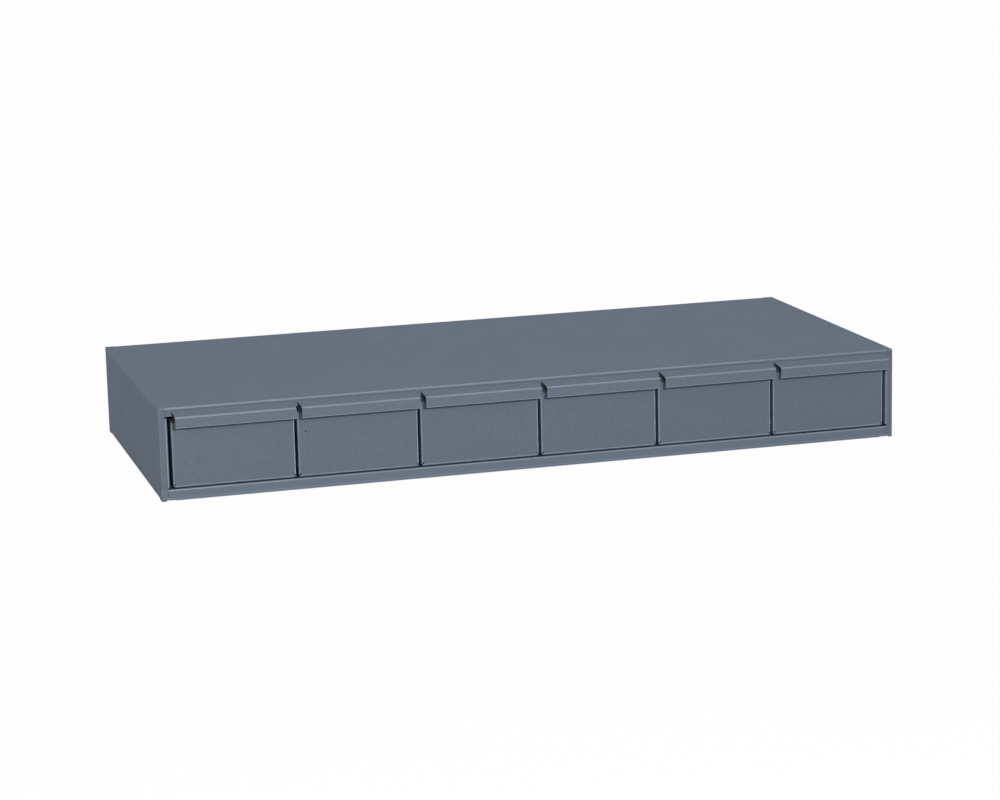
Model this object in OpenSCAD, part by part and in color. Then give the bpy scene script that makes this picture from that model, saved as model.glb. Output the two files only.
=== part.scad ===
// Low six-drawer cabinet for small parts, folded and welded from sheet steel.
// The front faces -Y and +Z is up. The origin is the middle of its footprint, pulls included.

/* [Case] */
// Outside width over both side panels
case_width = 857; // [700:1:1040]
// Depth from the front frame to the outside of the back
case_depth = 381; // [310:1:460]
// Height from the surface it stands on to the top
case_height = 103.2; // [80:0.2:120]
// Thickness of the case's sheet
case_sheet = 0.9; // [0.7:0.1:1.5]
// Inside radius of every bend in the sheet
bend_radius = 0.9; // [0.6:0.1:1.5]
// Width of the play left where two sheets meet edge to edge
seam = 0.3; // [0.2:0.1:0.6]

/* [Front frame] */
// Width of each upright stile, over its inner bend
stile_width = 8.9; // [8:0.1:14]
// Depth of the return behind the stile's inner edge
stile_return = 8; // [5:0.5:14]
// Height of the header, the front flange of the top panel
header_height = 9.6; // [8:0.1:14]
// Depth of the return behind the header's lower edge
header_return = 7; // [5:0.5:12]
// Height of the bottom rail, the front flange of the bottom panel
rail_height = 12.9; // [10:0.1:18]
// Depth of the return under the bottom rail
rail_return = 12; // [8:0.5:20]
// Height of the rail's plain ends above the surface it stands on
rail_end_rise = 1; // [0.3:0.1:1.6]
// Width of the foot on which each stile stands, at its outer corner
foot_width = 5; // [3:0.5:7]

/* [Inner flanges] */
// Width of the flanges at the back of the side panels
back_flange = 14; // [10:0.5:20]
// Width of the side panels' top flanges
top_flange = 10; // [6:0.5:10.5]
// Width of the side panels' bottom flanges
bottom_flange = 14; // [10:0.5:20]
// Length of the square corner left beside each relief slot
corner_length = 14; // [4:0.5:20]
// Width of the relief slot at the end of a bend
relief = 2; // [1.4:0.1:3]

/* [Drawer bays] */
// Gap between the faces of two neighbouring drawers
drawer_gap = 3.2; // [2.2:0.1:5]
// Gap between an end drawer's face and the stile beside it
end_gap = 4.2; // [3.2:0.1:8]
// Gap between the rail's top edge and the drawer faces
sill_gap = 2.5; // [2.2:0.1:4]
// Set-back of a partition's front edge behind the frame
partition_setback = 16; // [12:1:40]
// Width of the flanges at the top and bottom of a partition
partition_flange = 10; // [6:0.5:16]
// Set-back of the stop rail behind the frame
stop_setback = 30; // [24:1:60]
// Width of the stop rail's top flange
stop_flange = 12; // [8:0.5:14]
// Depth of the stop rail below the top panel
stop_depth = 8.5; // [6:0.5:10]
// Distance of each glide bead from the middle of its bay
bead_offset = 44; // [20:1:52]
// Width of a glide bead where it leaves the deck
bead_width = 8; // [6:0.5:12]
// Set-back of the glide beads from the front frame and from the back
bead_setback = 24; // [16:1:60]
// Play between the glide beads and the drawer above them
glide_play = 0.3; // [0.2:0.1:0.6]

/* [Drawers] */
// Thickness of the drawers' sheet
drawer_sheet = 0.8; // [0.6:0.1:1.2]
// Play between a drawer's face and the header it laps
face_play = 0.5; // [0.3:0.1:1]
// Height by which a drawer's face laps the header
face_lap = 5.9; // [3:0.1:8]
// Depth of the returns behind a drawer's face
face_return = 12; // [8:0.5:14]
// Clearance between a drawer's side walls and the header's lower edge
wall_clear = 4.8; // [2:0.1:12]
// Height of the folded hems on the side walls and the pull's lip
hem_height = 5; // [4:0.5:8]
// Inside radius of the hems
hem_radius = 0.3; // [0.2:0.1:0.5]
// Clear space left behind a closed drawer
rear_space = 8; // [5:1:30]
// Length of the side walls left plain for the drawer's back
plain_length = 14; // [12:1:20]
// Width of the flanges on the drawer's back
rear_flange = 10; // [8:0.5:12]
// Width of the stop tab on top of the drawer's back
tab_width = 42; // [24:1:80]
// Height by which the stop tab laps the stop rail
tab_lap = 3; // [1.5:0.1:5]

/* [Pull] */
// Reach of the pull in front of the drawer's face
pull_reach = 22; // [16:0.5:30]
// Fall of the pull's top towards its lip
pull_drop = 2.3; // [0:0.1:4]
// Height of the pull's lip
lip_height = 12.3; // [9:0.1:18]
// Amount by which each end of the pull stops short of the face
pull_inset = 1.5; // [0.5:0.1:3]
// Radius of the relief holes and notches in a drawer's face
face_relief = 1.1; // [0.6:0.1:1.4]

/* [Output] */
// Part to draw, or all of them

/* [Hidden] */
$fn = 48;
drawers = 6;
paint = [0.41, 0.45, 0.50];
shade = [0.37, 0.41, 0.46];
bend = bend_radius + case_sheet;
fold = bend_radius + drawer_sheet;
hem_bend = hem_radius + drawer_sheet;
joint = 1;
under_top = case_height - case_sheet;
margin = stile_width + end_gap;
pitch = (case_width - 2 * margin + drawer_gap) / drawers;
face_width = pitch - drawer_gap;
face_bottom = rail_height + sill_gap;
face_top = case_height - header_height + face_lap;
face_front = -face_play - drawer_sheet;
front = (pull_reach - face_front - case_depth) / 2;
wall_top = case_height - header_height - wall_clear;
tab_top = under_top - stop_depth + tab_lap;
tray_bottom = face_bottom - drawer_sheet;
tray_width = face_width - 2 * drawer_sheet;
tray_inside = tray_width - 2 * drawer_sheet;
tray_front = face_front + fold;
tray_back = case_depth - 2 * case_sheet - rear_space;
frame_half = case_width / 2 - stile_width + bend - seam;
bead_height = tray_bottom - glide_play - rail_height;
bead_radius = (pow(bead_width / 2, 2) + pow(bead_height, 2)) / (2 * bead_height);
pull_flat = pull_reach - 2 * bend_radius - drawer_sheet;
pull_slope = atan(pull_drop / pull_flat);

// ---- Folding ----

// Left edge of a drawer's face, counted from drawer 1
function face_left(n) = -case_width / 2 + margin + (n - 1) * pitch;

// End view of one bend about the origin, which starts along +X and turns by an angle under 180
module bend_ring(turn, sheet, radius) {
    span = 2 * (radius + sheet);
    difference() {
        circle(radius + sheet);
        circle(radius);
        translate([-span, -span]) square([span, 2 * span]);
        rotate(turn) translate([0, -span]) square([span, 2 * span]);
    }
}

// End view of a folded sheet. It starts at the origin along +X with the sheet on its left.
// Each run is a flat's length, the turn after it (left is positive) and that bend's radius.
module folded(runs, sheet, at = 0) {
    run = runs[at];
    if (run[0] > 0) square([run[0], sheet]);
    if (at < len(runs) - 1) {
        pivot = run[1] > 0 ? sheet + run[2] : -run[2];
        translate([run[0], pivot]) {
            bend_ring(run[1], sheet, run[2]);
            rotate(run[1]) translate([0, -pivot]) folded(runs, sheet, at + 1);
        }
    }
}

// Sweep an end view along one axis between two positions
module along_x(from, to) {
    translate([from, 0, 0]) rotate([90, 0, 90]) linear_extrude(to - from) children();
}

module along_y(from, to) {
    translate([0, to, 0]) rotate([90, 0, 0]) linear_extrude(to - from) children();
}

module along_z(from, to) {
    translate([0, 0, from]) linear_extrude(to - from) children();
}

// Rectangle that has one rounded corner, at its far lower end
module rounded_notch(width, height, radius) {
    square([width - radius, height]);
    translate([0, radius]) square([width, height - radius]);
    translate([width - radius, radius]) circle(radius);
}

// ---- Case ----

// Left side panel, from the outer corner of its stile
module side_shape() {
    wall = case_depth - 2 * bend;
    first = corner_length + relief;
    last = case_depth - first;
    difference() {
        along_z(0, under_top)
            translate([back_flange, case_depth]) rotate(180) folded([
                [back_flange - bend, 90, bend_radius],
                [wall, 90, bend_radius],
                [stile_width - 2 * bend, 90, bend_radius],
                [stile_return - bend, 0, 0]], case_sheet);
        // The stile's inner bend stops clear of the rail and the header
        for (end = [[-relief, rail_height], [case_height - header_height - relief, header_height]])
            translate([stile_width - bend, -relief, end[0]])
                cube([2 * bend, stile_return + 2 * relief, end[1] + 2 * relief]);
        // Beside its foot the stile ends level with the rail's plain end
        translate([foot_width, -relief, -relief])
            cube([stile_width, stile_return, rail_end_rise + relief]);
        // The wall's edges give way to the top and bottom flanges
        for (z = [-relief, under_top - bend])
            translate([-relief, corner_length, z])
                cube([3 * relief, case_depth - 2 * corner_length, bend + relief]);
        for (y = [corner_length + relief / 2, case_depth - corner_length - relief / 2])
            for (z = [bend, under_top - bend])
                translate([-relief, y, z]) rotate([0, 90, 0]) cylinder(h = 3 * relief, r = relief / 2);
    }
    along_y(first, last)
        translate([top_flange, under_top]) rotate(180) folded([
            [top_flange - bend, 90, bend_radius],
            [under_top - 2 * bend, 90, bend_radius],
            [bottom_flange - bend, 0, 0]], case_sheet);
}

module left_side() {
    color(paint) translate([-case_width / 2, front, 0]) side_shape();
}

module right_side() {
    color(paint) mirror([1, 0, 0]) translate([-case_width / 2, front, 0]) side_shape();
}

// The top with rounded corners that follow the side panels' bends
module top_outline() {
    half = case_width / 2;
    translate([-half + bend, 0]) square([case_width - 2 * bend, case_depth]);
    translate([-half, bend]) square([case_width, case_depth - 2 * bend]);
    for (x = [-half + bend, half - bend])
        for (y = [bend, case_depth - bend])
            translate([x, y]) circle(bend);
}

module top_panel() {
    flange_half = case_width / 2 - back_flange - seam;
    color(paint) translate([0, front, 0]) {
        difference() {
            translate([0, 0, under_top]) linear_extrude(case_sheet) top_outline();
            translate([-frame_half - seam, -joint, under_top - joint])
                cube([2 * (frame_half + seam), bend + joint, case_sheet + 2 * joint]);
            translate([-flange_half - relief, case_depth - bend, under_top - joint])
                cube([2 * (flange_half + relief), bend + joint, case_sheet + 2 * joint]);
        }
        along_x(-frame_half, frame_half)
            translate([bend + joint, case_height]) rotate(180) folded([
                [joint, 90, bend_radius],
                [header_height - 2 * bend, 90, bend_radius],
                [header_return - bend, 0, 0]], case_sheet);
        along_x(-flange_half, flange_half)
            translate([case_depth, case_height - back_flange]) rotate(90) folded([
                [back_flange - bend, 90, bend_radius],
                [joint, 0, 0]], case_sheet);
    }
}

// End view of a glide bead pressed up from the deck, from a depth below the deck's top
module bead_section(radius, depth) {
    crown = rail_height + bead_height;
    intersection() {
        translate([0, crown - bead_radius]) circle(radius);
        translate([-bead_width, rail_height - depth]) square([2 * bead_width, bead_height + 2 * depth]);
    }
}

// A straight bead with domed ends
module bead(radius, depth) {
    ends = [bead_setback, case_depth - bead_setback];
    along_y(ends[0], ends[1]) bead_section(radius, depth);
    for (y = ends)
        translate([0, y, 0]) rotate_extrude() intersection() {
            bead_section(radius, depth);
            square([bead_width, rail_height + bead_width]);
        }
}

module each_bead() {
    for (n = [1 : drawers])
        for (side = [-1, 1])
            translate([face_left(n) + face_width / 2 + side * bead_offset, 0, 0]) children();
}

module bottom_panel() {
    back = case_depth - 2 * case_sheet;
    half = case_width / 2 - case_sheet;
    return_half = case_width / 2 - bottom_flange - relief;
    under_deck = rail_height - case_sheet;
    color(paint) translate([0, front, 0]) {
        difference() {
            union() {
                translate([-half + bend, bend, under_deck])
                    cube([2 * (half - bend), back - 2 * bend, case_sheet]);
                each_bead() bead(bead_radius, case_sheet);
            }
            each_bead() bead(bead_radius - case_sheet, 2 * case_sheet);
        }
        // Rail with its return, and the plain ends that meet the stiles
        along_x(-return_half, return_half)
            translate([bend + joint, rail_height]) rotate(180) folded([
                [joint, 90, bend_radius],
                [rail_height - 2 * bend, 90, bend_radius],
                [rail_return - bend, 0, 0]], case_sheet);
        along_x(-frame_half, frame_half)
            translate([bend + joint, rail_height]) rotate(180) folded([
                [joint, 90, bend_radius],
                [rail_height - bend - rail_end_rise, 0, 0]], case_sheet);
        along_x(-half + bend, half - bend)
            translate([back, bend]) rotate(90) folded([
                [rail_height - 2 * bend, 90, bend_radius],
                [joint, 0, 0]], case_sheet);
        for (side = [0, 1])
            mirror([side, 0, 0]) along_y(corner_length + relief, back - bend - relief)
                translate([half, bend]) rotate(90) folded([
                    [rail_height - 2 * bend, 90, bend_radius],
                    [joint, 0, 0]], case_sheet);
    }
}

module back_panel() {
    half = case_width / 2 - bend;
    color(shade) translate([-half, front + case_depth - 2 * case_sheet, bend])
        cube([2 * half, case_sheet, under_top - bend_radius - bend]);
}

module stop_rail() {
    half = case_width / 2 - margin;
    color(shade) translate([0, front, 0]) along_x(-half, half)
        translate([stop_setback + case_sheet, under_top - stop_depth]) rotate(90) folded([
            [stop_depth - bend, 90, bend_radius],
            [stop_flange - bend, 0, 0]], case_sheet);
}

// Guide between two bays, from the outer face of its web
module partition_shape() {
    notch_depth = stop_setback + 2 * relief - partition_setback;
    notch_height = stop_depth + relief;
    difference() {
        along_y(partition_setback, case_depth - 2 * case_sheet - seam)
            translate([partition_flange, under_top]) rotate(180) folded([
                [partition_flange - bend, 90, bend_radius],
                [under_top - rail_height - 2 * bend, 90, bend_radius],
                [partition_flange - bend, 0, 0]], case_sheet);
        // Clearance for the stop rail
        along_x(-joint, partition_flange + joint)
            translate([partition_setback - joint, under_top - notch_height])
                rounded_notch(notch_depth + joint, notch_height + joint, relief);
    }
}

module partition(k) {
    web = face_left(k) - (drawer_gap + case_sheet) / 2;
    color(shade) translate([web, front, 0]) partition_shape();
}

module last_partition() {
    color(shade) mirror([1, 0, 0])
        translate([face_left(1) - (drawer_gap + case_sheet) / 2, front, 0]) partition_shape();
}

// ---- Drawers ----

// Move a drawer piece from the middle of its face to its bay
module in_bay(n) {
    translate([face_left(n) + face_width / 2, front, 0]) children();
}

// One lower corner of the face, where its side and bottom bends run together
module face_corner() {
    translate([face_width / 2 - fold, face_front + fold, face_bottom + fold])
        intersection() {
            difference() {
                sphere(fold);
                sphere(bend_radius);
            }
            translate([0, -fold, -fold]) cube(fold);
        }
}

module drawer_front(n) {
    half = face_width / 2;
    pull_half = half - pull_inset;
    bend_top = face_top - fold;
    lip_bottom = face_top - pull_drop - lip_height;
    color(paint) in_bay(n) difference() {
        union() {
            // Face with its two side returns
            along_z(face_bottom + fold, wall_top)
                translate([-half, face_front + face_return]) rotate(-90) folded([
                    [face_return - fold, 90, bend_radius],
                    [face_width - 2 * fold, 90, bend_radius],
                    [face_return - fold, 0, 0]], drawer_sheet);
            // Bottom bend across the face, and the narrower return behind it
            along_x(-half + fold, half - fold)
                mirror([1, 0]) translate([-face_front - fold, face_bottom]) folded([
                    [0, 90, bend_radius],
                    [joint, 0, 0]], drawer_sheet);
            along_x(-half + 2 * fold, half - 2 * fold)
                mirror([1, 0]) translate([-face_front - face_return, face_bottom])
                    square([face_return - fold, drawer_sheet]);
            for (side = [0, 1]) mirror([side, 0, 0]) face_corner();
            // Top of the face, the hood and the hemmed lip
            along_x(-pull_half, pull_half)
                mirror([1, 0]) translate([-face_front, wall_top]) rotate(90) folded([
                    [bend_top - wall_top, -90 - pull_slope, bend_radius],
                    [pull_flat / cos(pull_slope), pull_slope - 90, bend_radius],
                    [bend_top - pull_drop - lip_bottom - hem_bend, -90, hem_radius],
                    [0, -90, hem_radius],
                    [hem_height, 0, 0]], drawer_sheet);
        }
        // Relief where the side returns end, and holes where three bends meet
        for (side = [-1, 1]) {
            translate([side * (half - pull_inset / 2), face_front - joint, wall_top])
                rotate([-90, 0, 0]) cylinder(h = fold + 2 * joint, r = face_relief + pull_inset / 2);
            translate([side * (half - fold), face_front - joint, face_bottom + fold + face_relief / 2])
                rotate([-90, 0, 0]) cylinder(h = joint + fold, r = face_relief);
        }
    }
}

module drawer_tray(n) {
    hem_flat = wall_top - hem_bend - tray_bottom - fold;
    plain_flat = wall_top - tray_bottom - fold;
    color(shade) in_bay(n) {
        along_y(tray_front, tray_back - plain_length)
            translate([2 * hem_bend - tray_width / 2, wall_top - hem_bend - hem_height]) rotate(90) folded([
                [hem_height, 90, hem_radius],
                [0, 90, hem_radius],
                [hem_flat, 90, bend_radius],
                [tray_width - 2 * fold, 90, bend_radius],
                [hem_flat, 90, hem_radius],
                [0, 90, hem_radius],
                [hem_height, 0, 0]], drawer_sheet);
        along_y(tray_back - plain_length, tray_back)
            translate([-tray_width / 2, wall_top]) rotate(-90) folded([
                [plain_flat, 90, bend_radius],
                [tray_width - 2 * fold, 90, bend_radius],
                [plain_flat, 0, 0]], drawer_sheet);
    }
}

module drawer_back(n) {
    half = tray_inside / 2;
    corner = 2 * relief;
    tab_height = tab_top - wall_top;
    color(shade) in_bay(n) {
        along_z(face_bottom + fold, wall_top)
            translate([half, tray_back - rear_flange]) rotate(90) folded([
                [rear_flange - fold, 90, bend_radius],
                [tray_inside - 2 * fold, 90, bend_radius],
                [rear_flange - fold, 0, 0]], drawer_sheet);
        along_x(-half + fold, half - fold)
            translate([tray_back - rear_flange, face_bottom]) folded([
                [rear_flange - fold, 90, bend_radius],
                [joint, 0, 0]], drawer_sheet);
        // Stop tab with rounded corners
        along_y(tray_back - drawer_sheet, tray_back) {
            translate([-tab_width / 2, wall_top]) square([tab_width, tab_height - corner]);
            translate([corner - tab_width / 2, wall_top]) square([tab_width - 2 * corner, tab_height]);
            for (side = [-1, 1])
                translate([side * (tab_width / 2 - corner), wall_top + tab_height - corner]) circle(corner);
        }
    }
}

// ---- Parts ----

left_side();
right_side();
top_panel();
bottom_panel();
back_panel();
stop_rail();
partition(1);  // partition_1
partition(2);  // partition_2
partition(3);  // partition_3
partition(4);  // partition_4
partition(5);  // partition_5
partition(6);  // partition_6
last_partition();  // partition_7
drawer_front(1);  // drawer_1_front
drawer_tray(1);  // drawer_1_tray
drawer_back(1);  // drawer_1_back
drawer_front(2);  // drawer_2_front
drawer_tray(2);  // drawer_2_tray
drawer_back(2);  // drawer_2_back
drawer_front(3);  // drawer_3_front
drawer_tray(3);  // drawer_3_tray
drawer_back(3);  // drawer_3_back
drawer_front(4);  // drawer_4_front
drawer_tray(4);  // drawer_4_tray
drawer_back(4);  // drawer_4_back
drawer_front(5);  // drawer_5_front
drawer_tray(5);  // drawer_5_tray
drawer_back(5);  // drawer_5_back
drawer_front(6);  // drawer_6_front
drawer_tray(6);  // drawer_6_tray
drawer_back(6);  // drawer_6_back
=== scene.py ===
import math
from types import SimpleNamespace

import bpy
from mathutils import Matrix, Vector


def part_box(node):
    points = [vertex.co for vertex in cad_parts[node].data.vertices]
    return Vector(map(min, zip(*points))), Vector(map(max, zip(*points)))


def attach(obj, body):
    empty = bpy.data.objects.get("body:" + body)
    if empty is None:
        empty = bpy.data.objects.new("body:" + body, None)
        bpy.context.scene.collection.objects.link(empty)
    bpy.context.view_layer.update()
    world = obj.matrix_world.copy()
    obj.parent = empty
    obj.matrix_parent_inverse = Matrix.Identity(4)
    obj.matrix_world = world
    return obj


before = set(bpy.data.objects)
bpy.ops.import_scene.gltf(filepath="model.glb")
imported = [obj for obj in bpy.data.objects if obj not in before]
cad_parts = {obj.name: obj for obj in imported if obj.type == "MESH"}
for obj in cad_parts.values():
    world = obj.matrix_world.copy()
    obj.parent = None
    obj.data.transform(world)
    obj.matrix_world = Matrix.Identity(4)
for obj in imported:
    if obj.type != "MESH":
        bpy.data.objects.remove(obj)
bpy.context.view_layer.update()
mm = 0.001
drawerCount = 6


class Wire:     # one socket, and arithmetic on it adds Math nodes
    def __init__(self, graph, socket):
        self.graph = graph
        self.socket = socket

    def __add__(self, other):
        return self.graph.maths("ADD", self, other)

    def __sub__(self, other):
        return self.graph.maths("SUBTRACT", self, other)

    def __rsub__(self, other):
        return self.graph.maths("SUBTRACT", other, self)

    def __mul__(self, other):
        return self.graph.maths("MULTIPLY", self, other)

    def __truediv__(self, other):
        return self.graph.maths("DIVIDE", self, other)

    __radd__ = __add__
    __rmul__ = __mul__


class Graph:    # a node tree, and short ways to add what the finishes use
    def __init__(self, tree):
        self.tree = tree
        tree.nodes.clear()

    def add(self, kind, settings=None, sockets=None, output=0):
        node = self.tree.nodes.new(kind)
        for name, value in (settings or {}).items():
            setattr(node, name, value)
        for name, value in (sockets or {}).items():
            if isinstance(value, Wire):
                self.tree.links.new(value.socket, node.inputs[name])
            else:
                node.inputs[name].default_value = value
        return Wire(self, node.outputs[output]) if node.outputs else node

    def maths(self, operation, *values):
        return self.add("ShaderNodeMath", {"operation": operation}, dict(enumerate(values)))

    def smooth(self, value, low, high):     # 0 below low, 1 above high
        return self.add("ShaderNodeMapRange", {"interpolation_type": "SMOOTHSTEP"},
                        {"Value": value, "From Min": low, "From Max": high})

    def fade(self, value, low, high):       # 1 below low, 0 above high
        return 1 - self.smooth(value, low, high)

    def noise(self, place, size, detail):   # 0 to 1, about 0.5
        return self.add("ShaderNodeTexNoise", {}, {"Vector": place, "Scale": 1 / size, "Detail": detail})

    def stretch(self, place, scale, turn):
        return self.add("ShaderNodeMapping", {}, {"Vector": place, "Scale": scale, "Rotation": turn})

    def outputs(self, first):               # every output of a node, by name
        return {socket.name: Wire(self, socket) for socket in first.socket.node.outputs if socket.name}

    def split(self, vector):
        parts = self.outputs(self.add("ShaderNodeSeparateXYZ", {}, {"Vector": vector}))
        return parts["X"], parts["Y"], parts["Z"]

    def mix(self, amount, first, second):   # colours
        return self.add("ShaderNodeMix", {"data_type": "RGBA"}, {0: amount, 6: first, 7: second}, 2)

    def tint(self, colour, amount):         # colour times a number
        return self.add("ShaderNodeVectorMath", {"operation": "SCALE"}, {0: colour, "Scale": amount})


def linear(*shade):     # display values 0-255 to the renderer's
    return [((s / 255 + 0.055) / 1.055) ** 2.4 if s > 10 else s / 255 / 12.92 for s in shade]


def newObject(name, data):
    made = bpy.data.objects.new(name, data)
    bpy.context.scene.collection.objects.link(made)
    return made


def newMaterial(name):
    material = bpy.data.materials.new(name)
    material.use_nodes = True
    return material, Graph(material.node_tree)


# the camera stands at the front, to the left of the middle, and looks slightly down
view = {
    "place": (-0.8979, -3.1723, 0.7427),
    "azimuth": 15.9,         # degrees to the right of straight at the front
    "elevation": 11.986,     # degrees down
    "roll": -1.375,
    "focalPixels": 2857,
    "imageWidth": 1000,
    "sensorWidth": 36,
    "clip": (0.05, 200),
}


def makeCamera(spec):
    data = bpy.data.cameras.new("camera")
    camera = newObject("camera", data)
    azimuth, elevation, roll = (math.radians(spec[k]) for k in ("azimuth", "elevation", "roll"))
    ahead = Vector((math.sin(azimuth) * math.cos(elevation),
                    math.cos(azimuth) * math.cos(elevation), -math.sin(elevation)))
    level = Vector((math.cos(azimuth), -math.sin(azimuth), 0))
    upright = level.cross(ahead)
    right = level * math.cos(roll) + upright * math.sin(roll)
    up = upright * math.cos(roll) - level * math.sin(roll)
    turn = Matrix((right, up, -ahead)).transposed().to_4x4()
    camera.matrix_world = Matrix.Translation(spec["place"]) @ turn
    data.sensor_width = spec["sensorWidth"]
    data.lens = spec["focalPixels"] / spec["imageWidth"] * spec["sensorWidth"]
    data.clip_start, data.clip_end = spec["clip"]
    bpy.context.scene.camera = camera


makeCamera(view)
print("camera done")

# floor, surround and lamps
stage = {
    "floorSize": 80,
    "floorDrop": 0.3 * mm,
    "floorColour": linear(215, 215, 215),
    "floorGlow": 0.98,       # share of plain white that the camera sees on the floor
    "surround": 0.29,        # strength of the white surround's light on the object
}
plainWhite = (1, 1, 1, 1)

lamps = {
    "key": {"place": (-0.36, -2.6, 0.83), "aim": (0, -0.18, 0.05), "size": (0.15, 0.15), "power": 38.5},
    "frontBox": {"place": (-0.95, -2.6, 0.9), "aim": (-0.3, -0.18, 0.05), "size": (1.2, 0.7), "power": 8},
    "leftFill": {"place": (-2.6, 0.6, 1.2), "aim": (0, 0, 0.05), "size": (1.4, 1.4), "power": 9},
    "rightFill": {"place": (2.6, 1.6, 1.4), "aim": (0, 0, 0.05), "size": (1.4, 1.4), "power": 12},
    "backFill": {"place": (0.6, 2.2, 2.3), "aim": (0, 0.1, 0.05), "size": (1.6, 1.2), "power": 16},
}


def background(graph):      # 1 for what the camera sees, straight or mirrored
    rays = graph.outputs(graph.add("ShaderNodeLightPath"))
    return graph.maths("MAXIMUM", rays["Is Camera Ray"], rays["Is Glossy Ray"])


def makeFloor(spec):
    half = spec["floorSize"] / 2
    mesh = bpy.data.meshes.new("floor")
    corners = [(-half, -half), (half, -half), (half, half), (-half, half)]
    mesh.from_pydata([(x, y, -spec["floorDrop"]) for x, y in corners], [], [(0, 1, 2, 3)])
    floor = newObject("floor", mesh)
    material, graph = newMaterial("floorPaint")
    shade = graph.add("ShaderNodeBsdfDiffuse", {}, {"Color": (*spec["floorColour"], 1)})
    white = graph.add("ShaderNodeEmission", {}, {"Color": plainWhite, "Strength": 1.0})
    amount = background(graph) * spec["floorGlow"]
    both = graph.add("ShaderNodeMixShader", {}, {0: amount, 1: shade, 2: white})
    graph.add("ShaderNodeOutputMaterial", {}, {"Surface": both})
    mesh.materials.append(material)


def makeWorld(spec):
    world = bpy.data.worlds.new("surround")
    bpy.context.scene.world = world
    world.use_nodes = True
    graph = Graph(world.node_tree)
    strength = background(graph) * (1 - spec["surround"]) + spec["surround"]
    glow = graph.add("ShaderNodeBackground", {}, {"Color": plainWhite, "Strength": strength})
    graph.add("ShaderNodeOutputWorld", {}, {"Surface": glow})


def makeLamps(specs):
    for name, spec in specs.items():
        data = bpy.data.lights.new(name, "AREA")
        data.shape = "RECTANGLE"
        data.size, data.size_y = spec["size"]
        data.energy = spec["power"]
        lamp = newObject(name, data)
        aim = Vector(spec["aim"]) - Vector(spec["place"])
        turn = aim.to_track_quat("-Z", "Y").to_matrix().to_4x4()
        lamp.matrix_world = Matrix.Translation(spec["place"]) @ turn


makeFloor(stage)
makeWorld(stage)
makeLamps(lamps)
bpy.context.scene.view_settings.view_transform = "Standard"
print("stage done")

# the enamels of the case, of the drawers' faces and of the insides
caseEnamel = {
    "colour": linear(102, 116, 133.5),
    "grain": 0.025,          # how far the fine grain moves the colour
    "grainSize": 2.6 * mm,
    "mottle": 0.01,          # the same for soft spots
    "mottleSize": 9 * mm,
    "cloud": 0.02,           # the same for broad patches
    "cloudSize": 90 * mm,
    "thin": 0.3,             # painted highlight: extra brightness on bends, as a lighter colour
    "worn": 0.85,            # more painted highlight on the upright and lower bends
    "fold": 0.28,            # and a painted highlight on the fold where a hood leaves its face
    "hood": 0.10,            # and painted light on the hoods' tops
    "rail": 0.105,           # and painted light on the bottom rail
    "railBend": 0.15,        # and painted highlight on its bends once more
    "railLine": 0.28,        # and a painted highlight line just above its lower bend
    "grime": 0.66,           # painted shade under the hood, behind the lip
    "gapDirt": 0.45,         # painted shade in the gaps round the faces and on the deck behind the rail
    "bendGloss": 1.0,        # clear sheen on the bends
    "roughness": 0.58,
    "roughSpread": 0.12,     # how far it varies from patch to patch
    "roughSize": 30 * mm,
    "bendPolish": 0.15,      # how much less rough the bends are
    "peel": 0.02 * mm,       # height of the orange peel
    "peelSize": 2.2 * mm,
    "wave": 0.35 * mm,       # height of the sheet's slow waves
    "waveSize": 160 * mm,
}
# painted light: the faces' colour is a less blue copy of the case's, for what faces the front, while tops
# and sides keep the case's
faceEnamel = dict(caseEnamel, colour=linear(102, 112.5, 125.5), grain=0.11, mottle=0.05)
innerEnamel = dict(caseEnamel, colour=linear(96, 106, 119), thin=0.2, worn=0.1, roughness=0.65)
gloss = {"level": 0.05, "coatRoughness": 0.22, "coatIndex": 1.7}

# a pair gives the two ends of a soft step, here and below
bendAndShine = {
    "bend": (0.95, 0.992),   # sheet that faces an axis less squarely than this is bent
    "square": (0.9, 0.97),   # and more squarely than this, it faces up or sideways
    "lower": (0.05, 0.3),    # bends that face up more than this get no extra painted highlight
    "side": (-0.6, 0.6),     # from left-hand bends to right-hand ones
    "left": 0.1,             # how much painted highlight left-hand bends get
    "right": 1.5,            # how much more the right-hand ones get
    "patch": (0.3, 0.6),
    "patchSize": 14 * mm,
    "least": 0.6,            # share of the painted highlight between the patches
}


def shift(span, by):
    return [end + by for end in span]


def survey(graph):      # where a point is, how the sheet faces there and how bent it is
    place = graph.add("ShaderNodeTexCoord", {}, {}, "Object")
    x, y, z = graph.split(place)
    facing = graph.split(graph.add("ShaderNodeTexCoord", {}, {}, "Normal"))
    steep = [graph.maths("ABSOLUTE", axis) for axis in facing]
    flat = graph.maths("MAXIMUM", graph.maths("MAXIMUM", steep[0], steep[1]), steep[2])
    bend = graph.fade(flat, *bendAndShine["bend"])
    return SimpleNamespace(place=place, x=x, y=y, z=z, facing=facing, steep=steep,
                           bend=bend, edge=bend, extra=0, other=None)


# the drawers' fronts: y from the face's back or the lip's front, z from the lip's foot
pull = {
    "cutEnds": (-3.0 * mm, -2.5 * mm),   # in front of this, what faces sideways is a cut end
    "fold": (-7.5 * mm, -4.0 * mm),      # where the hood leaves the face
    "lipBack": (0.5 * mm, 0.7 * mm),     # painted shade only behind the lip's outer side
    "notUp": (0.3, 0.6),                 # and not on what faces up
    "lipFoot": 14.6 * mm,                # below the hood's highest line
    "grime": (0.5 * mm, 3.5 * mm),       # up from the lip's foot
    "shadeFrom": (0.0, 1.5 * mm),         # painted shade on the returns, from the face backwards
    "shadeTo": (2.5 * mm, 10 * mm),
    "hoodTint": 0.5,                     # painted light: the hoods' up-facing tops take the case's bluer colour, as the top does
}


# painted light and shade on the drawers' faces
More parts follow.
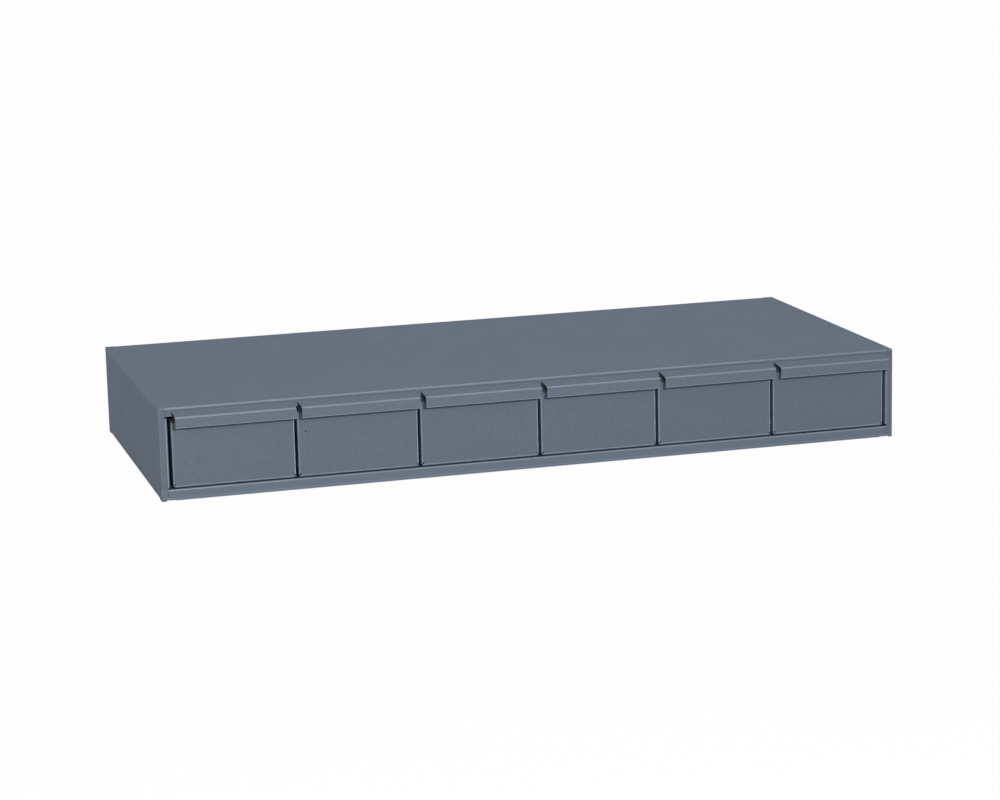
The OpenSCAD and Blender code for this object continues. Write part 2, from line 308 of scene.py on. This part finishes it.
def paintLightFace(graph, at, look):
    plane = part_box("drawer_1_tray")[0].y
    low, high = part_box("drawer_1_front")
    sideways = graph.smooth(at.steep[0], *bendAndShine["square"])
    # painted highlight on the cut ends of the hoods and lips, as on the bends
    cut = sideways * graph.fade(at.y, *shift(pull["cutEnds"], plane))
    at.edge = graph.maths("MAXIMUM", at.bend, cut)
    hood = graph.smooth(at.facing[2], *bendAndShine["square"])
    fold = graph.smooth(at.y, *shift(pull["fold"], plane))
    # painted shade under the hood, behind the lip
    behind = graph.smooth(at.y, *shift(pull["lipBack"], low.y)) * graph.fade(at.facing[2], *pull["notUp"])
    grime = behind * graph.smooth(at.z, *shift(pull["grime"], high.z - pull["lipFoot"]))
    # painted shade on the returns in the gaps round the face
    near = graph.smooth(at.y, *shift(pull["shadeFrom"], plane))
    shadeMask = near * graph.fade(at.y, *shift(pull["shadeTo"], plane))
    # painted highlight on the hoods' folds and painted light on their tops, less the painted shade behind
    # the lip
    at.extra = hood * (fold * look["fold"] + look["hood"]) - grime * look["grime"]
    at.extra = at.extra - sideways * shadeMask * look["gapDirt"]
    # painted light: the hoods' tops take part of the case's colour
    at.other = (hood * pull["hoodTint"], caseEnamel["colour"])


# the case: y from its front, z from the floor, the deck or the top
frontFrame = {
    "front": (2 * mm, 4 * mm),           # the sheets round the drawers reach this far back
    "cutFacing": (-0.9, -0.6),
    "topSheet": (-1.1 * mm, -0.8 * mm),
    "cutShare": 0.6,                     # painted highlight on the top sheet's cut edge over the stiles
    "stiles": (-4 * mm, -3 * mm),        # from the ends of the top panel
    "stileBend": 0.75,                   # how much less their bends show
    "deck": (0.0, 1 * mm),
    "lineFrom": (2.1 * mm, 2.6 * mm),    # the painted highlight line on the rail
    "lineTo": (3.2 * mm, 3.8 * mm),
    "sillUp": (0.8, 0.95),
    "sillFrom": (1.5 * mm, 3 * mm),      # painted shade on the deck behind the rail
    "sillTo": (14 * mm, 30 * mm),
}


# painted light and shade on the case
def paintLightCase(graph, at, look):
    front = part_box("left_side")[0].y
    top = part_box("top_panel")[1]
    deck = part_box("partition_1")[0].z
    # painted highlight on the top sheet's cut edge, and less on the stiles' bends
    cut = graph.fade(at.facing[1], *frontFrame["cutFacing"])
    cut = cut * graph.smooth(at.z, *shift(frontFrame["topSheet"], top.z))
    stile = graph.smooth(graph.maths("ABSOLUTE", at.x), *shift(frontFrame["stiles"], top.x))
    at.bend = at.bend * (1 - stile * frontFrame["stileBend"])
    at.edge = graph.maths("MAXIMUM", at.bend, cut * frontFrame["cutShare"])
    ahead = graph.fade(at.y, *shift(frontFrame["front"], front))
    below = graph.fade(at.z, *shift(frontFrame["deck"], deck))
    # painted light on the rail, painted highlight on its bends and on a line above its foot
    line = graph.smooth(at.z, *frontFrame["lineFrom"]) * graph.fade(at.z, *frontFrame["lineTo"])
    rubAndHighlight = at.bend * look["railBend"] + look["rail"] + line * (1 - stile) * look["railLine"]
    # painted shade on the deck behind the rail, seen through the sill gap
    sill = graph.smooth(at.facing[2], *frontFrame["sillUp"])
    sill = sill * graph.smooth(at.y, *shift(frontFrame["sillFrom"], front))
    shadeMask = sill * below * graph.fade(at.y, *shift(frontFrame["sillTo"], front))
    at.extra = ahead * below * rubAndHighlight - shadeMask * look["gapDirt"]
    # painted light: the case's front sheets take the faces' less blue colour
    at.other = (ahead, faceEnamel["colour"])


# tiny flaws in the enamel
pits = {"spread": 34 * mm, "radius": 0.35 * mm, "core": 0.6, "shade": 0.25, "depth": 0.05 * mm}
scratches = {       # from what the drawers have held
    "width": 0.9 * mm,
    "length": 60 * mm,
    "amount": 0.10,
    "polish": 0.1,
    "turns": (0.4, -0.9, 1.9),
    "line": (0.66, 0.72),
}
marks = {           # places from the left edge of a drawer's face and from the floor
    "chip": {"front": "drawer_2_front", "across": 9 * mm, "height": 65.5 * mm,
             "half": (1.2 * mm, 1.1 * mm), "ragged": 1.2 * mm, "dark": 0.65},
    "rub": {"front": "drawer_1_front", "across": 20.7 * mm, "height": 42.5 * mm,
            "half": (8.5 * mm, 4 * mm), "ragged": 5 * mm, "core": 0.72, "rim": 0.1,
            "light": 0.03, "polish": 0.08},
    "uneven": 0.5,
    "edge": (0.85, 1.1),
}


def patch(graph, place, spec, share=1.0):       # 1 inside an oval with an uneven edge
    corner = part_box(spec["front"])[0]
    x, _, z = graph.split(place)
    across = (x - (corner.x + spec["across"])) / (spec["half"][0] * share)
    upward = (z - spec["height"]) / (spec["half"][1] * share)
    reach = graph.maths("SQRT", across * across + upward * upward)
    uneven = graph.noise(place, spec["ragged"], detail=2) - 0.5
    return graph.fade(reach + uneven * marks["uneven"], *marks["edge"])


def markFaces(graph, place, shade, rough):
    chipped, rubAndHighlight = marks["chip"], marks["rub"]
    chip = patch(graph, place, chipped)
    rub = patch(graph, place, rubAndHighlight)
    core = patch(graph, place, rubAndHighlight, rubAndHighlight["core"])
    shade = shade * (1 - chip * chipped["dark"]) - (rub - core) * rubAndHighlight["rim"] + core * rubAndHighlight["light"]
    return shade, rough - core * rubAndHighlight["polish"]


def scratch(graph, place, shade, rough):
    squeeze = (1, scratches["width"] / scratches["length"], 1)
    for turn in scratches["turns"]:
        along = graph.stretch(place, squeeze, (0, 0, turn))
        line = graph.smooth(graph.noise(along, scratches["width"], detail=1), *scratches["line"])
        shade = shade + line * scratches["amount"]
        rough = rough - line * scratches["polish"]
    return shade, rough


def paintedLight(graph, at, look):      # painted highlight on bends and edges, plus the painted light and shade in at.extra
    lower = graph.fade(at.facing[2], *bendAndShine["lower"])
    sidedHighlight = lower * (graph.smooth(at.facing[0], *bendAndShine["side"]) * bendAndShine["right"] + bendAndShine["left"])
    patches = graph.smooth(graph.noise(at.place, bendAndShine["patchSize"], detail=3), *bendAndShine["patch"])
    amount = patches * (1 - bendAndShine["least"]) + bendAndShine["least"]
    return at.edge * amount * (sidedHighlight * look["worn"] + look["thin"]) + at.extra


def speckle(graph, place, look):    # 1 on the whole, and a little more or less from point to point
    shade = 1
    for name, detail in (("grain", 3), ("mottle", 2), ("cloud", 3)):
        shade = shade + (graph.noise(place, look[name + "Size"], detail) - 0.5) * (2 * look[name])
    return shade


def enamel(name, look, paintLightOf=None, detailOf=None):
    material, graph = newMaterial(name)
    at = survey(graph)
    if paintLightOf:
        paintLightOf(graph, at, look)
    cell = graph.add("ShaderNodeTexVoronoi", {"feature": "F1"}, {
        "Vector": at.place, "Scale": 1 / pits["spread"], "Randomness": 1.0}, "Distance")
    pit = graph.fade(cell * pits["spread"], pits["radius"] * pits["core"], pits["radius"])
    shade = speckle(graph, at.place, look) + paintedLight(graph, at, look) - pit * pits["shade"]
    rough = graph.noise(at.place, look["roughSize"], detail=3) * look["roughSpread"]
    rough = rough + (look["roughness"] - look["roughSpread"] / 2) - at.bend * look["bendPolish"]
    if detailOf:
        shade, rough = detailOf(graph, at.place, shade, rough)
    paint = look["colour"]
    # painted light: a second copy of the colour, chosen by the way the sheet faces
    if at.other:
        amount, colour = at.other
        paint = graph.mix(amount, (*paint, 1), (*colour, 1))

    peel = graph.noise(at.place, look["peelSize"], detail=1)
    wave = graph.noise(at.place, look["waveSize"], detail=1)
    height = peel * look["peel"] + wave * look["wave"] - pit * pits["depth"]
    bump = graph.add("ShaderNodeBump", {}, {"Height": height, "Distance": 1.0, "Strength": 1.0})
    shader = graph.add("ShaderNodeBsdfPrincipled", {}, {
        "Base Color": graph.tint(paint, shade), "Roughness": rough, "Normal": bump,
        "Specular IOR Level": gloss["level"], "Coat Weight": at.bend * look["bendGloss"],
        "Coat Roughness": gloss["coatRoughness"], "Coat IOR": gloss["coatIndex"]})
    graph.add("ShaderNodeOutputMaterial", {}, {"Surface": shader})
    return material


finishes = {
    "case": enamel("caseEnamel", caseEnamel, paintLightOf=paintLightCase),
    "face": enamel("faceEnamel", faceEnamel, paintLightOf=paintLightFace, detailOf=markFaces),
    "inner": enamel("innerEnamel", innerEnamel, detailOf=scratch),
}


def finishOf(name):
    if name in ("left_side", "right_side", "top_panel", "bottom_panel"):
        return finishes["case"]
    return finishes["face" if name.endswith("_front") else "inner"]


for name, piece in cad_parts.items():
    piece.data.materials.clear()
    piece.data.materials.append(finishOf(name))
print("finishes done")

# the low rings that spot welds leave
welds = {
    "ring": 2.1 * mm,        # radius
    "width": 0.9 * mm,
    "proud": 0.1 * mm,
    "ringSides": 12,
    "wireSides": 4,
    "uneven": 0.12,          # how far their sizes differ
    "seed": 5,
}
drawerWelds = {
    "pitch": 30 * mm,        # distance between the welds of a row
    "foot": 13 * mm,         # upright rows, up from the tray's underside
    "head": 12 * mm,         # and down from the tops of its walls
    "fore": 4.5 * mm,        # rows at the front, ahead of the returns' ends
    "aft": 4 * mm,           # rows at the back
    "ends": 16 * mm,         # level rows, in from the sides
}
caseWelds = {
    "pitch": 48 * mm,
    "backEnds": 30 * mm,
    "backHeight": 7 * mm,
    "deckEnds": 14 * mm,
}


def weldTree():
    tree = bpy.data.node_groups.new("weldRows", "GeometryNodeTree")
    graph = Graph(tree)
    for name, kind in (("Rows", "Geometry"), ("Pitch", "Float"), ("Ring", "Float"), ("Width", "Float"),
                       ("Proud", "Float"), ("Uneven", "Float"), ("Seed", "Int"), ("Paint", "Material")):
        tree.interface.new_socket(name, in_out="INPUT", socket_type="NodeSocket" + kind)
    tree.interface.new_socket("Welds", in_out="OUTPUT", socket_type="NodeSocketGeometry")
    given = graph.outputs(graph.add("NodeGroupInput"))

    rows = graph.add("GeometryNodeMeshToCurve", {}, {"Mesh": given["Rows"]})
    spots = graph.add("GeometryNodeResampleCurve", {"mode": "LENGTH"}, {
        "Curve": rows, "Length": given["Pitch"]})
    facing = graph.add("GeometryNodeInputNamedAttribute", {"data_type": "FLOAT_VECTOR"}, {"Name": "facing"})
    turn = graph.add("FunctionNodeAlignRotationToVector", {"axis": "Z"}, {"Vector": facing})
    path = graph.add("GeometryNodeCurvePrimitiveCircle", {}, {
        "Resolution": welds["ringSides"], "Radius": given["Ring"]})
    section = graph.add("GeometryNodeCurvePrimitiveCircle", {}, {
        "Resolution": welds["wireSides"], "Radius": given["Width"] / 2})
    ring = graph.add("GeometryNodeCurveToMesh", {}, {"Curve": path, "Profile Curve": section})
    flatness = given["Proud"] / given["Width"] * 2
    scale = graph.add("ShaderNodeCombineXYZ", {}, {"X": 1.0, "Y": 1.0, "Z": flatness})
    low = graph.add("GeometryNodeTransform", {}, {"Geometry": ring, "Scale": scale})
    size = graph.add("FunctionNodeRandomValue", {"data_type": "FLOAT"}, {
        2: 1 - given["Uneven"], 3: 1 + given["Uneven"], 8: given["Seed"]}, 1)
    marked = graph.add("GeometryNodeInstanceOnPoints", {}, {
        "Points": spots, "Instance": low, "Rotation": turn, "Scale": size})
    real = graph.add("GeometryNodeRealizeInstances", {}, {"Geometry": marked})
    smooth = graph.add("GeometryNodeSetShadeSmooth", {}, {"Geometry": real})
    painted = graph.add("GeometryNodeSetMaterial", {}, {"Geometry": smooth, "Material": given["Paint"]})
    graph.add("NodeGroupOutput", {}, {"Welds": painted})
    return tree


def drawerRows(n, spec):        # start, end and the way the weld faces
    front, tray, back = (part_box(f"drawer_{n}_{part}") for part in ("front", "tray", "back"))
    sheet = ((tray[1].x - tray[0].x) - (back[1].x - back[0].x)) / 2
    low, high = tray[0].z + spec["foot"], tray[1].z - spec["head"]
    fore, aft = front[1].y - spec["fore"], back[0].y + spec["aft"]
    left, right = back[0].x + spec["ends"], back[1].x - spec["ends"]
    rows = []
    for side in (0, 1):
        out = 2 * side - 1
        for x, y, way in ((front[side].x, fore, out), (tray[side].x - out * sheet, fore, -out),
                          (tray[side].x, aft, out), (back[side].x - out * sheet, aft, -out)):
            rows.append(((x, y, low), (x, y, high), (way, 0, 0)))
    for y in (fore, aft):
        for z, way in ((tray[0].z + 2 * sheet, 1), (tray[0].z, -1)):
            rows.append(((left, y, z), (right, y, z), (0, 0, way)))
    return rows


def caseRows(spec):
    low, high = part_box("back_panel")
    sheet = high.y - low.y
    left, right, height = low.x + spec["backEnds"], high.x - spec["backEnds"], spec["backHeight"]
    rows = [((left, high.y, height), (right, high.y, height), (0, 1, 0))]
    for k in range(1, drawerCount + 2):     # under the deck, below the partitions' flanges
        low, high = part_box(f"partition_{k}")
        x, z = (low.x + high.x) / 2, low.z - sheet
        rows.append(((x, low.y + spec["deckEnds"], z), (x, high.y - spec["deckEnds"], z), (0, 0, -1)))
    return rows


def makeWelds(name, rows, pitch, body):
    mesh = bpy.data.meshes.new(name + "Rows")
    points = [end for start, stop, way in rows for end in (start, stop)]
    mesh.from_pydata(points, [(2 * i, 2 * i + 1) for i in range(len(rows))], [])
    facing = mesh.attributes.new("facing", "FLOAT_VECTOR", "POINT")
    facing.data.foreach_set("vector", [v for start, stop, way in rows for v in way * 2])
    holder = newObject(name + "Rows", mesh)
    modifier = holder.modifiers.new("welds", "NODES")
    modifier.node_group = weldNodes
    values = {"Pitch": pitch, "Ring": welds["ring"], "Width": welds["width"], "Proud": welds["proud"],
              "Uneven": welds["uneven"], "Seed": welds["seed"], "Paint": finishes["inner"]}
    for socket in weldNodes.interface.items_tree:
        if socket.in_out == "INPUT" and socket.name in values:
            modifier[socket.identifier] = values[socket.name]
    evaluated = holder.evaluated_get(bpy.context.evaluated_depsgraph_get())
    plain = bpy.data.meshes.new_from_object(evaluated)
    plain.name = name
    holder.modifiers.remove(modifier)
    bpy.data.objects.remove(holder)
    piece = newObject(name, plain)
    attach(piece, body)
    return len(plain.polygons)


weldNodes = weldTree()
total = makeWelds("case_welds", caseRows(caseWelds), caseWelds["pitch"], "case")
for n in range(1, drawerCount + 1):
    rows = drawerRows(n, drawerWelds)
    total += makeWelds(f"drawer_{n}_welds", rows, drawerWelds["pitch"], f"drawer_{n}")
print("spot welds done,", total, "faces")
